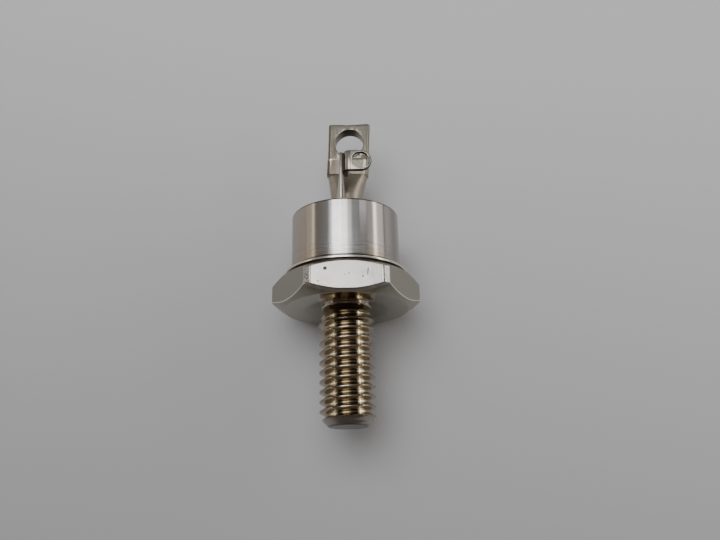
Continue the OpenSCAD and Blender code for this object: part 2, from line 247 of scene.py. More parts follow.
def quarter_angles(count=6):
    """Angles from 0 to a quarter turn in equal steps, with both ends."""
    return [math.radians(90 * i / count) for i in range(count + 1)]


def eased(corners, steps=3, closed=False):
    """Outline through corners (x, y, radius), with each corner that has a radius rounded in steps."""
    count, points = len(corners), []
    for i, (x, y, radius) in enumerate(corners):
        here = Vector((x, y))
        if radius == 0 or (not closed and i in (0, count - 1)):
            points.append(here)
            continue
        before = Vector(corners[i - 1][:2]) - here
        after = Vector(corners[(i + 1) % count][:2]) - here
        room = 0.48 * min(before.length, after.length)
        before.normalize()
        after.normalize()
        half = before.angle(after) / 2
        reach = min(radius / math.tan(half), room)
        centre = here + (before + after).normalized() * (reach / math.cos(half))
        start, end = here + before * reach - centre, here + after * reach - centre
        turn = start.angle_signed(end)
        for k in range(steps + 1):
            points.append(centre + Matrix.Rotation(-turn * k / steps, 2) @ start)
    return points


# Meshes and pieces


def tidy_mesh(name, points, faces, weld=1e-7):
    """A closed mesh with doubled points welded and its faces turned outwards."""
    mesh = bpy.data.meshes.new(name)
    mesh.from_pydata(points, [], faces)
    shape = bmesh.new()
    shape.from_mesh(mesh)
    bmesh.ops.remove_doubles(shape, verts=shape.verts, dist=weld)
    bmesh.ops.dissolve_degenerate(shape, edges=shape.edges, dist=weld)
    bmesh.ops.recalc_face_normals(shape, faces=shape.faces)
    shape.to_mesh(mesh)
    shape.free()
    return mesh


def joined(parts):
    """One list of points and one of faces from several (points, faces)."""
    points, faces = [], []
    for more_points, more_faces in parts:
        base = len(points)
        points += more_points
        faces += [tuple(base + i for i in face) for face in more_faces]
    return points, faces


def bridged(rings, closed=False):
    """Faces between rings of equally many points, each ring closed on itself."""
    count, size = len(rings), len(rings[0])
    faces = []
    for i in range(count if closed else count - 1):
        low, high = i * size, (i + 1) % count * size
        for j in range(size):
            nxt = (j + 1) % size
            faces.append((low + j, low + nxt, high + nxt, high + j))
    return [p for ring in rings for p in ring], faces


def capped(rings):
    """Bridged rings with one more face in the first ring and one in the last."""
    points, faces = bridged(rings)
    size = len(rings[0])
    for start in (0, len(points) - size):
        faces.append(tuple(range(start, start + size)))
    return points, faces


def turned(section, angles, closed=False):
    """Rings round the stud's axis through a section that may differ from angle to angle."""
    columns = [section(angle) for angle in angles]
    rings = [
        [around_axis(column[i][0], angle, column[i][1]) for column, angle in zip(columns, angles)]
        for i in range(len(columns[0]))
    ]
    return bridged(rings, closed)


def rod(radius, low, high, place, count=64):
    """A plain closed rod along the upward line of a placing matrix."""
    rings = [
        [place @ Vector((r * math.cos(a), r * math.sin(a), z)) for a in even_angles(count)]
        for r, z in ((0, low), (radius, low), (radius, high), (0, high))
    ]
    return tidy_mesh("rod", *bridged(rings), 1e-8)


def placed(name, data):
    """A new object in the scene."""
    made = bpy.data.objects.new(name, data)
    bpy.context.scene.collection.objects.link(made)
    return made


def apply_modifiers(target):
    """Gives an object the mesh that its modifiers make, and takes them off."""
    bpy.context.view_layer.update()
    evaluated = target.evaluated_get(bpy.context.evaluated_depsgraph_get())
    mesh = bpy.data.meshes.new_from_object(evaluated)
    target.modifiers.clear()
    target.data = mesh


def carved(target, cutter_mesh):
    """Cuts a closed mesh out of the target object."""
    cutter = placed("cutter", cutter_mesh)
    cut = target.modifiers.new("cut", "BOOLEAN")
    cut.operation, cut.solver, cut.object = "DIFFERENCE", "EXACT", cutter
    apply_modifiers(target)
    bpy.data.objects.remove(cutter)


def add_piece(name, mesh, finish, nodes, cutters=(), sharp=40):
    """Puts a finished mesh in the scene for the CAD nodes that it stands for.

    Edges that turn by more than the sharp angle, in degrees, stay crisp.
    """
    piece = placed(name, mesh)
    for cutter in cutters:
        carved(piece, cutter)
    piece.data.materials.clear()
    piece.data.materials.append(finish)
    piece.data.polygons.foreach_set("use_smooth", [True] * len(piece.data.polygons))
    piece.data.set_sharp_from_angle(angle=math.radians(sharp))
    true_flats = piece.modifiers.new("true_flats", "WEIGHTED_NORMAL")
    true_flats.mode, true_flats.keep_sharp = "FACE_AREA", True
    apply_modifiers(piece)
    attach(piece, "root")
    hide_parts(*nodes)
    return piece


# Materials

# Sockets of the Mix node when it mixes colours
MIX_FACTOR = 0
MIX_FIRST = 6
MIX_SECOND = 7
MIX_RESULT = 2


def grey(level, warm=0.0):
    """A colour of that level, a little warm or, below 0, a little cold."""
    return (level * (1 + 0.5 * warm), level, level * (1 - warm), 1.0)


def distance(across, along):
    """Length of a step with these two parts, as numbers or values."""
    return (across * across + along * along) ** 0.5


class Value:
    """One output in a node tree. Arithmetic on it adds Math nodes."""

    def __init__(self, nodes, socket):
        self.nodes, self.socket = nodes, socket

    def __add__(self, other):
        return self.nodes.math("ADD", self, other)

    __radd__ = __add__

    def __sub__(self, other):
        return self.nodes.math("SUBTRACT", self, other)

    def __rsub__(self, other):
        return self.nodes.math("SUBTRACT", other, self)

    def __mul__(self, other):
        return self.nodes.math("MULTIPLY", self, other)

    __rmul__ = __mul__

    def __pow__(self, other):
        return self.nodes.math("POWER", self, other)

    def __abs__(self):
        return self.nodes.math("ABSOLUTE", self)

    def between(self, low, high):
        """0 below low, 1 above high, eased between; or the other way round."""
        ends = {"Value": self, "From Min": low, "From Max": high}
        return self.nodes.node("ShaderNodeMapRange", {"interpolation_type": "SMOOTHSTEP"}, ends)


class Nodes:
    """A node tree, to which each call adds a node."""

    def __init__(self, tree):
        self.tree = tree

    def feed(self, socket, value):
        """Links a value to a socket, or sets a constant on the socket itself."""
        if isinstance(value, Value):
            self.tree.links.new(value.socket, socket)
        else:
            socket.default_value = value

    def node(self, kind, settings=None, inputs=None, out=0):
        """Adds a node: its settings first, then the values or links of its sockets."""
        made = self.tree.nodes.new(kind)
        for key, value in (settings or {}).items():
            setattr(made, key, value)
        for key, value in (inputs or {}).items():
            self.feed(made.inputs[key], value)
        return Value(self, made.outputs[out])

    def math(self, operation, first, second=0.0):
        """One Math node."""
        return self.node("ShaderNodeMath", {"operation": operation}, {0: first, 1: second})

    def split(self, vector):
        """The three parts of a vector."""
        return [self.node("ShaderNodeSeparateXYZ", {}, {0: vector}, axis) for axis in "XYZ"]

    def blend(self, mask, first, second):
        """The first colour where the mask is 0 and the second where it is 1."""
        inputs = {MIX_FACTOR: mask, MIX_FIRST: first, MIX_SECOND: second}
        return self.node("ShaderNodeMix", {"data_type": "RGBA"}, inputs, MIX_RESULT)

    def coats(self, colour, *layers):
        """A colour with further ones laid over it, each given as (mask, colour)."""
        for mask, tone in layers:
            colour = self.blend(mask, colour, tone)
        return colour


class Finish(Nodes):
    """A material around one Principled shader, with the piece's own coordinates in millimetres."""

    def __init__(self, name, metallic, coat=0.0):
        self.material = bpy.data.materials.new(name)
        self.material.use_nodes = True
        super().__init__(self.material.node_tree)
        self.shader = self.tree.nodes["Principled BSDF"]
        self.shader.inputs["Metallic"].default_value = metallic
        self.shader.inputs["Coat Weight"].default_value = coat
        place = self.node("ShaderNodeTexCoord", out="Object")
        millimetres = {"Vector": place, "Scale": 1 / MM}
        self.place = self.node("ShaderNodeVectorMath", {"operation": "SCALE"}, millimetres)
        self.x, self.height, self.front = self.split(self.place)
        self.radius = distance(self.x, self.front)

    def facing(self):
        """The three parts of the direction that the surface faces: right, up the axis and front."""
        return self.split(self.node("ShaderNodeTexCoord", out="Normal"))

    def noise(self, scale, detail=3.0, roughness=0.5, at=None):
        """Noise from 0 to 1, with features about 1 / scale millimetres apart."""
        sockets = {
            "Vector": at or self.place,
            "Scale": scale,
            "Detail": detail,
            "Roughness": roughness,
        }
        return self.node("ShaderNodeTexNoise", {}, sockets)

    def streaks(self, x, height, front, detail=2.0, roughness=0.6):
        """Noise at a stretched place, for drawn lines and turned rings."""
        place = self.node("ShaderNodeCombineXYZ", {}, {0: x, 1: height, 2: front})
        return self.noise(1.0, detail, roughness, place)

    def paint(self, colour, roughness, bump=None):
        """Feeds the shader. The bump is a height in millimetres."""
        self.feed(self.shader.inputs["Base Color"], colour)
        self.feed(self.shader.inputs["Roughness"], roughness)
        if bump is not None:
            bumped = self.node("ShaderNodeBump", {}, {"Distance": MM, "Height": bump})
            self.feed(self.shader.inputs["Normal"], bumped)
        return self.material


# Marks on the front flat: right of its middle, height and size; and its one scratch: where its middle is,
# how far it leans to the right as it climbs, and half its length
FLAT_MARKS = [
    (-2.11, 2.36, 0.18),
    (-0.16, 1.71, 0.05),
    (0.24, 1.79, 0.06),
    (1.6, 1.48, 0.07),
    (-2.79, 1.03, 0.06),
]
SCRATCH_X, SCRATCH_HEIGHT = 2.1, 2.0
SCRATCH_LEAN = 0.12
SCRATCH_HALF = 0.36


class BaseFinish(Finish):
    """Nickel on the turned copper base: satin flats, mirror seat, golden brown thread grooves."""

    def __init__(self):
        super().__init__("nickel_base", 1.0)
        in_neck = self.height.between(0.16, 0.12) * self.radius.between(CREST_R, CREST_R - 0.1)
        self.on_stud = self.math("MAXIMUM", in_neck, self.height.between(-0.05, -0.1))
        self.on_hex = 1 - self.on_stud
        self.on_top = self.front.between(FLAT_FRONT - 0.1, FLAT_FRONT - 0.03) * self.on_hex
        self.corner = self.radius.between(CORNER_R - 0.08, CORNER_R - 0.03) * self.on_hex
        low = self.height.between(DISH_DEPTH + 0.04, DISH_DEPTH + 0.01)
        self.seat = low * self.radius.between(SEAT_R + 0.1, SEAT_R) * self.on_hex
        self.end_face = self.height.between(-STUD_LEN + 0.9, -STUD_LEN + 0.6)
        self.marks = self.flat_marks() * self.on_top
        self.patch = self.noise(0.9, 4.0, 0.6)
        self.coarse = self.noise(6.0, 3.0, 0.6)

    def flat_marks(self):
        """1 in the pits and in the scratch of the front flat."""
        rough_edge = 0.14 * self.noise(9.0)
        marks = 0.0
        for x, height, size in FLAT_MARKS:
            off = distance(self.x - x, self.height - height) + rough_edge
            marks = marks + off.between(size + 0.08, size + 0.04)
        climb = self.height - SCRATCH_HEIGHT
        off = abs(self.x - SCRATCH_X - SCRATCH_LEAN * climb)
        return marks + off.between(0.05, 0.0) * abs(climb).between(SCRATCH_HALF, SCRATCH_HALF - 0.08)

    def seat_coats(self):
        """The shoulder at the neck with a painted highlight arc and painted shade at its sides, and a painted
        reflection of the stud on the seat in front of it.
        """
        shoulder = self.radius.between(DISH_FLOOR_R, DISH_FLOOR_R - 0.05)
        shoulder = shoulder * self.height.between(DISH_DEPTH, DISH_DEPTH - 0.03)
        # Painted highlight across the front of the shoulder, with painted shade at its sides
        arc = self.blend(abs(self.x).between(2.1, 2.4), grey(0.95, 0.1), grey(0.2, 0.2))
        arc = self.blend(self.radius.between(SHOULDER_R - 0.03, SHOULDER_R - 0.07), arc, grey(0.45, 0.25))
        # Painted reflection of the stud on the seat: dark near the neck, light further out
        painted_reflection_mask = abs(self.x).between(3.0, 2.5) * self.front.between(2.2, 2.8)
        painted_reflection_mask = painted_reflection_mask * self.seat * (1 - shoulder)
        near, far = (0.14, 0.115, 0.085, 1), (0.7, 0.6, 0.45, 1)
        image = self.blend(self.radius.between(3.3, 3.7), near, far)
        return (shoulder, arc), (painted_reflection_mask * 0.85, image)

    def corner_coats(self):
        """Turned corners: brown and rough on the left, with a painted highlight on the right."""
        left = self.corner * self.coarse.between(0.45, 0.6) * self.x.between(1.0, -1.0)
        # Painted highlight on the right-hand corners
        right = self.corner * self.x.between(1.0, 2.0)
        return (left * 0.7, (0.2, 0.165, 0.115, 1)), (right * 0.8, grey(0.72, 0.06))

    def hexagon_colour(self):
        """Satin plate with painted shade on all faces but the front flat, painted highlights on the side
        edges, a painted shade line along the front flat's lower and right edges, and dark marks on the front
        flat.
        """
        cloud = self.noise(0.25, 2.0)
        towards_side = self.front * 0.5 + abs(self.x) * math.sqrt(0.75)
        off_cone = abs(self.height - (self.radius - SEAT_R) * LOWER_SLOPE)
        # Painted highlight along the edges between the side flats and the lower chamfer
        painted_edge_highlight = towards_side.between(FLAT_FRONT - 0.07, FLAT_FRONT - 0.02) * off_cone.between(0.07, 0.04)
        # Painted shade: a dark line along the front flat's lower edge and its right edge
        outline = self.height.between(0.37, 0.31) + abs(self.x - FLAT_HALF_W - 0.018).between(0.08, 0.03)
        painted_shoulder_highlight, painted_stud_reflection = self.seat_coats()
        return self.coats(
            self.blend(cloud.between(0.4, 0.65), grey(0.575, 0.05), grey(0.525, 0.1)),
            (self.patch.between(0.5, 0.75) * 0.4, grey(0.42, 0.18)),
            # Painted shade: the side flats, the seat and all else but the front flat are darker
            (self.front.between(FLAT_FRONT - 0.3, FLAT_FRONT - 0.55), grey(0.325, 0.15)),
            painted_shoulder_highlight,
            *self.corner_coats(),
            painted_stud_reflection,
            (painted_edge_highlight * self.on_hex * 0.9, grey(0.95, 0.08)),
            (outline * self.on_top * 0.8, (0.08, 0.07, 0.06, 1)),
            (self.marks, (0.05, 0.045, 0.04, 1)),
        )

    def thread_colour(self):
        """Worn crests with painted shade at their sides, golden flanks, and roots with painted shade in the
        middle between two painted highlight bands.
        """
        groove = self.radius.between(CREST_R - 0.02, CREST_R - 0.34) * self.on_stud
        # Crests painted darker at the left and right as shade
        crest = self.blend(abs(self.x).between(1.9, 2.4), (0.43, 0.37, 0.29, 1), (0.33, 0.29, 0.23, 1))
        off_middle = abs(self.x + 0.05)
        # Thread roots: painted shade in the middle, a painted highlight band to either side of it
        root = self.coats(
            (0.22, 0.17, 0.105, 1),
            (off_middle.between(0.25, 0.6), (0.13, 0.1, 0.06, 1)),
            (off_middle.between(0.95, 1.15), (0.9, 0.83, 0.66, 1)),
            (off_middle.between(1.6, 1.85), (0.36, 0.29, 0.19, 1)),
        )
        # Painted shade on the neck where the thread runs out
        painted_neck_shade = self.height.between(-0.55, -0.35) * self.radius.between(CREST_R - 0.1, CREST_R - 0.25)
        return self.coats(
            crest,
            (groove, (0.41, 0.335, 0.235, 1)),
            (self.radius.between(NECK_R, NECK_R - 0.08), root),
            (painted_neck_shade, (0.25, 0.2, 0.135, 1)),
        )


def base_finish():
    """The base's colours, with a mirror seat, rings turned in it, and drawn lines on the front flat."""
    f = BaseFinish()
    at_end = f.height.between(-STUD_LEN + 0.2, -STUD_LEN + 0.05)
    end_tone = f.blend(at_end, (0.38, 0.35, 0.32, 1), (0.15, 0.141, 0.132, 1))
    colour = f.coats(f.hexagon_colour(), (f.on_stud, f.thread_colour()), (f.end_face, end_tone))
    grain = f.noise(9.0, 3.0, 0.6)
    rings = f.streaks(f.radius * 14, 0.0, 0.0) * f.seat
    lines = f.streaks(f.x * 7, f.height * 0.7, 0.0) * f.x.between(1.4, 2.4) * f.on_top
    roughness = 0.26 + 0.1 * f.patch - 0.06 * f.corner - 0.2 * f.seat - 0.2 * f.on_stud + 0.2 * f.end_face
    rise = 0.001 * grain * f.on_hex + 0.045 * f.coarse * f.corner + 0.0015 * rings + 0.012 * lines
    return f.paint(colour, roughness, rise - 0.05 * f.marks)


def case_finish():
    """Bright nickel on the deep-drawn case, with fine rings turned round it near the flange, painted shade at
    its sides, near its outlines, at the foot of its wall and at the roof's edge, and a painted highlight on
    the flange's rim.
    """
    f = Finish("nickel_case", 1.0)
    cloud = f.noise(0.3, 2.0)
    low = f.height.between(6.8, 4.6)
    tarnish = low * cloud.between(0.45, 0.6) * abs(f.x).between(1.5, 3.5)
    # Painted shade near the case's left and right outlines
    edge = f.x.between(4.4, 5.2) + f.x.between(-5.2, -5.7)
    rings = f.streaks(f.x * 0.25, f.height * 9, f.front * 0.25, 3.0, 0.7)
    scored = f.streaks(f.x * 0.5, f.height * 12 + 0.4 * f.x, f.front * 0.5, 2.0, 0.5)
    # Painted highlight on the flange's rim
    painted_flange_highlight = f.radius.between(FLANGE_R - 0.27, FLANGE_R - 0.12)
    # Painted shade lines: where the wall meets the flange, and at the roof's outer edge
    foot = f.radius.between(CASE_R + 0.1, CASE_R + 0.05)
    foot = foot * f.height.between(FLANGE_TOP + 0.53, FLANGE_TOP + 0.33)
    painted_brim_shade = f.radius.between(CASE_R - 0.25, CASE_R - 0.15)
    painted_brim_shade = painted_brim_shade * f.height.between(ROOF_TOP - 0.2, ROOF_TOP - 0.13)
    colour = f.coats(
        f.blend(cloud.between(0.35, 0.7), grey(0.56, 0.02), grey(0.52, 0.06)),
        # Painted shade: the case is darker towards its left and right
        (f.x.between(-1.4, -3.2), (0.47, 0.41, 0.345, 1)),
        (f.x.between(1.2, 3.0), (0.48, 0.44, 0.41, 1)),
        (tarnish, (0.52, 0.41, 0.29, 1)),
        (edge * 0.8, (0.28, 0.25, 0.22, 1)),
        (scored.between(0.5, 0.62) * low * 0.8, (0.32, 0.28, 0.25, 1)),
        (painted_flange_highlight * 0.8, grey(0.8, 0.08)),
        (foot + painted_brim_shade, (0.1, 0.085, 0.07, 1)),
    )
    roughness = 0.11 + 0.07 * f.noise(1.2, 3.0) + 0.06 * rings * low
    rise = 0.0003 * rings + 0.001 * low * rings.between(0.5, 0.72) + 0.0004 * f.noise(8.0, 2.0)
    return f.paint(colour, roughness, rise)


def painted_hole_wall_shade(f):
    """Painted shade on the wall of the tab's hole: dark in the middle and lighter at its left and right."""
    across = f.x - HOLE_X
    above = (f.height - HOLE_HEIGHT) * (1 / TAB_HOLE_STRETCH)
    wall = distance(across, above).between(TAB_HOLE_R + 0.13, TAB_HOLE_R + 0.08)
    return wall, f.blend(abs(across).between(1.4, 0.7), (0.36, 0.31, 0.25, 1), (0.04, 0.034, 0.028, 1))


def terminal_finish():
    """Warm nickel on the pressed tube, stained brown in the wedge, with die marks along it, and with shade
    and a highlight line painted on the tab.
    """
    f = Finish("nickel_terminal", 1.0)
    cloud = f.noise(0.7, 3.0)
    streak = f.streaks(f.x * 6, f.height * 0.6, f.front * 6, 3.0)
    pinch, step = ROOF_TOP + PINCH_START, ROOF_TOP + PINCH_END
    on_tab = f.height.between(pinch - 0.3, pinch)
    stain = (1 - on_tab) * f.height.between(10.5, 13.0) * cloud.between(0.3, 0.6)
    # Painted shade down the left of the pinch and the lower tab
    painted_left_shade = on_tab * f.x.between(-0.3, -1.2) * f.height.between(21.8, 20.2)
    painted_left_shade = painted_left_shade * (0.5 + 0.3 * f.height.between(step + 0.2, step - 0.1))
    # Painted shade on the tab's sideways edges and across its right half at the step
    painted_side_edge_shade = abs(f.facing()[0]).between(0.3, 0.7)
    painted_step_shade = abs(f.height - step).between(0.4, 0.2) * f.x.between(0.2, 0.6)
    # Painted highlight along the step between pinch and tab
    painted_step_highlight = abs(f.height - (step - 0.05 + 0.05 * f.x)).between(0.12, 0.05) * f.x.between(1.2, 0.4)
    colour = f.coats(
        f.blend(cloud, grey(0.4, 0.16), grey(0.34, 0.22)),
        (stain * 0.5, (0.36, 0.275, 0.2, 1)),
        (painted_left_shade, (0.24, 0.185, 0.14, 1)),
        painted_hole_wall_shade(f),
        (f.math("MAXIMUM", painted_side_edge_shade, painted_step_shade) * on_tab * 0.85, (0.15, 0.13, 0.105, 1)),
        (painted_step_highlight * 0.4, grey(0.8, 0.06)),
    )
    on_wedge = f.height.between(pinch + 0.1, pinch - 0.2)
    roughness = 0.19 + 0.1 * f.noise(3.0, 3.0) - 0.03 * streak + 0.16 * on_wedge
    return f.paint(colour, roughness, 0.001 * streak + 0.0012 * f.noise(6.0, 3.0, 0.6))


def gate_finish():
    """Nickel on the thin gate tube, drawn lengthways, with painted shade on its right side and beside the
    lug, darkest towards the lug's leg.
    """
    f = Finish("nickel_gate", 1.0)
    streak = f.streaks(f.x * 14, f.height * 0.8, f.front * 14, 3.0)
    # Painted shade on the tube's right side
    painted_right_shade = f.x.between(GATE_X - 0.1, GATE_X + 0.1)
    # Painted shade, darkest, on the side that faces the gap to the lug's leg
    painted_gap_shade = f.x.between(GATE_X + 0.1, GATE_X + 0.15) * f.height.between(LUG_BOTTOM - 0.2, LUG_BOTTOM)
    colour = f.coats(
        f.blend(streak, grey(0.54, 0.08), grey(0.45, 0.14)),
        (painted_right_shade * 0.8, (0.2, 0.18, 0.16, 1)),
        # Painted shade on the blade beside the lug
        (f.height.between(LUG_BOTTOM, LUG_BOTTOM + 0.75) * 0.4, (0.22, 0.2, 0.17, 1)),
        (painted_gap_shade, (0.06, 0.05, 0.042, 1)),
    )
    return f.paint(colour, 0.22 + 0.14 * streak, 0.003 * streak)


def lug_finish():
    """Bright nickel on the bent lug, with dull sheared edges and its side at the gap painted dark as shade,
    and painted shade on the bend and the flag's far end.
    """
    f = Finish("bright_lug", 1.0)
    grain = f.noise(10.0, 3.0, 0.6)
    _, along, out = f.facing()
    flag_x = LEG_X + LUG_T + BEND_R
    on_flag = f.x.between(flag_x + 0.02, flag_x + 0.14)
    on_bend = 1 - on_flag
    # Painted shade on the sheared edges
    sheared = abs(along) + on_flag * (1 - abs(out))
    # Painted shade at the flag's right end and along part of its lower edge
    lower_edge = f.height.between(LUG_BOTTOM + 0.45, LUG_BOTTOM + 0.15)
    painted_far_shade = f.x.between(2.1, 2.9) + lower_edge * f.x.between(1.0, 1.6)
    streak = f.streaks(f.x * 9, 0.3 * f.height, 0.0, 2.0, 0.5)
    folds = f.streaks(f.x * 9, 0.0, f.front * 9, 2.0, 0.5) * on_bend
    colour = f.coats(
        f.blend(f.noise(1.1, 3.0), grey(0.7, 0.14), grey(0.63, 0.19)),
        # Painted shade on the leg and the bend
        (on_bend * 0.55, (0.3, 0.27, 0.23, 1)),
        (painted_far_shade * 0.65, (0.35, 0.31, 0.24, 1)),
        (streak.between(0.45, 0.6) * on_bend * 0.7, (0.26, 0.23, 0.19, 1)),
        (sheared.between(0.12, 0.35), (0.09, 0.076, 0.062, 1)),
        # Painted shade on the leg's side that faces the gap
        (f.x.between(LEG_X + 0.1, LEG_X), (0.05, 0.042, 0.035, 1)),
    )
    return f.paint(colour, 0.24 + 0.1 * grain, 0.001 * grain + 0.012 * folds)


def glass_finish():
    """Grey-green sealing glass with faint flow marks."""
    f = Finish("seal_glass", 0.0, 0.6)
    cloud = f.noise(0.8, 3.0)
    colour = f.blend(cloud, (0.09, 0.115, 0.105, 1), (0.15, 0.18, 0.165, 1))
    return f.paint(colour, 0.06 + 0.06 * cloud, 0.006 * cloud)


def hidden_finish(name, metallic, colour, darker, roughness, scale, rise):
    """A plain inner finish: two tones, its roughness and a low grain."""
    f = Finish(name, metallic)
    grain = f.noise(scale, 3.0, 0.6)
    return f.paint(f.blend(grain, colour, darker), roughness + 0.12 * grain, rise * grain)


def stranded_finish(strands=7, twist=6):
    """Bare copper with the strands of a rope wound round it, turning by twist radians a millimetre."""
    f = Finish("stranded_copper", 1.0)
    turn = f.math("ARCTAN2", f.x, f.front + MAIN_BACK)
    strand = f.math("SINE", turn * strands + f.height * twist)
    colour = f.blend(strand.between(-1, 1), (0.5, 0.24, 0.13, 1), (0.7, 0.37, 0.22, 1))
    return f.paint(colour, 0.35 + 0.1 * f.noise(6.0), 0.03 * strand)


# Hexagon base with its threaded stud


def base_angles():
    """Angles round the base, close together beside each turned corner."""
    steps = [*range(2, 23, 4), 25.5, 27, 27.45, 27.8, 28.3, 29.4]
    sector = sorted([-s for s in steps] + steps)
    return [math.radians(60 * i + s) for i in range(6) for s in sector]


def hex_radius(angle):
    """Outer radius of the hexagon with its corners turned down."""
    from_flat = (angle + math.pi / 6) % (math.pi / 3) - math.pi / 6
    return soft_min(FLAT_FRONT / math.cos(from_flat), CORNER_R, 0.004)


def hex_section(angle):
    """Section from the neck up over the seat, the chamfers, the weld ring's groove and the pedestal."""
    out = hex_radius(angle)
    return eased([
        (NECK_R, -RUN_OUT + 0.05, 0),
        (NECK_R, SHOULDER_LOW - 0.03, 0.1),
        (SHOULDER_R, SHOULDER_LOW, 0.03),
        (SHOULDER_R, DISH_DEPTH, 0),
        (DISH_FLOOR_R, DISH_DEPTH, 0.05),
        (DISH_R, 0, 0.4),
        (SEAT_R, 0, 0.08),
        (out, (out - SEAT_R) * LOWER_SLOPE, 0.05),
        (out, HEX_H - (out - LAND_R) * UPPER_SLOPE, 0.05),
        (LAND_R, HEX_H, 0.05),
        (RING_OUTER_R, HEX_H, 0),
        (RING_OUTER_R, RING_BOTTOM, 0),
        (RING_INNER_R, RING_BOTTOM, 0),
        (RING_INNER_R, HEX_H, 0),
        (PEDESTAL_R, HEX_H, 0),
        (PEDESTAL_R, PEDESTAL_TOP, 0.05),
        (0, PEDESTAL_TOP, 0),
    ])


def thread_radius(angle, height):
    """Radius of the right-hand thread, which runs out in the neck and is cut back by the end chamfer."""
    phase = (height / PITCH - CREST_PHASE - angle / math.tau + 0.5) % 1 - 0.5
    flank = (abs(phase) - CREST_HALF) / FLANK
    share = soft_min(-soft_min(-flank, 0.0, CREST_EASE), 1.0, ROOT_EASE)
    groove = THREAD_DEPTH * smooth_step(RUN_OUT, FULL_GROOVE, -height) * max(0.0, share)
    radius = soft_min(CREST_R - groove, TIP_R + height + STUD_LEN, TIP_EASE)
    cone = NECK_R - CONE_SLOPE * soft_min(height + CONE_START, 0.0, 0.05)
    return soft_min(radius, cone, 0.02)


def thread_rows(angles):
    """Points of the thread in rows that follow the helix, and its faces."""
    phases = [-0.5, *(-phase for phase in reversed(ROW_PHASES)), *ROW_PHASES]
    low, high = -STUD_LEN + TIP_ROUND, -RUN_OUT
    start = math.floor(low - CREST_PHASE) + CREST_PHASE - PITCH
    turns = math.ceil((high - start) / PITCH) + 1
    rows = [start + turn * PITCH + phase * PITCH for turn in range(turns) for phase in phases]
    points = []
    for angle in angles:
        for row in rows:
            height = min(high, max(low, row + PITCH * angle / math.tau))
            points.append(around_axis(thread_radius(angle, height), angle, height))
    size, lead, faces = len(rows), len(phases), []
    for j in range(len(angles)):
        last = j == len(angles) - 1
        shift = lead if last else 0
        right = 0 if last else (j + 1) * size
        for k in range(size - 1 - shift):
            here, there = j * size + k, right + k + shift
            faces.append((here, there, there + 1, here + 1))
    return points, faces


def threaded_base():
    """The base in one skin: the stud's end, its thread, and all above the thread's run-out."""
    angles = base_angles()
    first = angles[0]
    angles = [angle - first for angle in angles]
    end_edge = (TIP_R + TIP_ROUND, -STUD_LEN + TIP_ROUND, 0)
    tip = eased([(0, -STUD_LEN, 0), (TIP_R, -STUD_LEN, 0.4), end_edge], 6)
    neck = [(thread_radius(0, -RUN_OUT), -RUN_OUT)]
    points, faces = joined([
        turned(lambda angle: tip, angles),
        thread_rows(angles),
        turned(lambda angle: neck + hex_section(angle + first), angles),
    ])
    spin = Matrix.Rotation(first, 3, "Y")
    mesh = tidy_mesh("threaded_base", [spin @ p for p in points], faces)
    return add_piece("threaded_base", mesh, base_finish(), ["stud_base"])


# Case and glass


def drawn_case():
    """The case: flange with a bevel under it, wall, roof and the roof's mouth."""
    corners = [
        (CASE_BORE_R, FLANGE_BOTTOM, 0),
        (FLANGE_R - 0.3, FLANGE_BOTTOM, 0.03),
        (FLANGE_R, FLANGE_BOTTOM + 0.1, 0.03),
        (FLANGE_R, FLANGE_TOP, 0.05),
        (CASE_R, FLANGE_TOP, 0.3),
        (CASE_R, ROOF_TOP, 0.12),
        (MOUTH_R, ROOF_TOP, 0.08),
        (MOUTH_R, ROOF_TOP - ROOF_T, 0),
        (CASE_BORE_R, ROOF_TOP - ROOF_T, 0.4),
    ]
    section = eased(corners, 5, True)
    points, faces = turned(lambda angle: section, even_angles(160), True)
    mesh = tidy_mesh("drawn_case", points, faces)
    return add_piece("drawn_case", mesh, case_finish(), ["case_shell"])


def seal_top(x, back):
    """Height of the glass, which climbs the two tubes and the mouth of the roof."""
    to_main = math.hypot(x - MAIN_X, back - MAIN_BACK) - TUBE_D / 2
    to_gate = math.hypot(x - GATE_X, back + GATE_FRONT) - GATE_D / 2
    to_mouth = MOUTH_R - math.hypot(x, back)
    rise = 0.0
    for gap, climb in ((to_main, 0.14), (to_gate, 0.12), (to_mouth, 0.1)):
        rise = max(rise, climb * math.exp(-max(gap, 0.0) / GLASS_CLIMB))
    return GLASS_TOP + rise


def glass_seal(rounds=48, steps=128):
    """The glass disc in the roof's mouth, with a hole for each tube."""
    angles = even_angles(steps)
    rings = []
    for k in range(rounds + 1):
        radius = MOUTH_R * k / rounds
        spots = [(radius * math.sin(angle), radius * math.cos(angle)) for angle in angles]
        rings.append([row_point(x, seal_top(x, -front), front) for x, front in spots])
    for radius in (MOUTH_R, 0):
        rings.append([around_axis(radius, angle, GLASS_BOTTOM) for angle in angles])
    mesh = tidy_mesh("glass", *bridged(rings))
    tubes = ((TUBE_D, main_line()), (GATE_D, gate_line()))
    cutters = [rod(diameter / 2, *THROUGH_GLASS, line) for diameter, line in tubes]
    return add_piece("glass", mesh, glass_finish(), ["glass_seal"], cutters)


# Pressed tubes: a section is (width, thickness, corner radius, up)


def pressed_width(diameter, thickness):
    """Width of a tube pressed to a thickness with its girth unchanged."""
    return thickness + math.pi / 2 * (diameter - thickness)


def squared_section(thickness, up, trim=0.0):
    """Section of the main tube pressed flat, with its long edges squared up and, at its end, trimmed."""
    fill = (4 - math.pi) * (thickness / 2 - TAB_CORNER)
    width = pressed_width(TUBE_D, thickness) - fill + 2 * EDGE_SPREAD
    return width - 2 * trim, thickness - 2 * trim, TAB_CORNER - 0.5 * trim, up


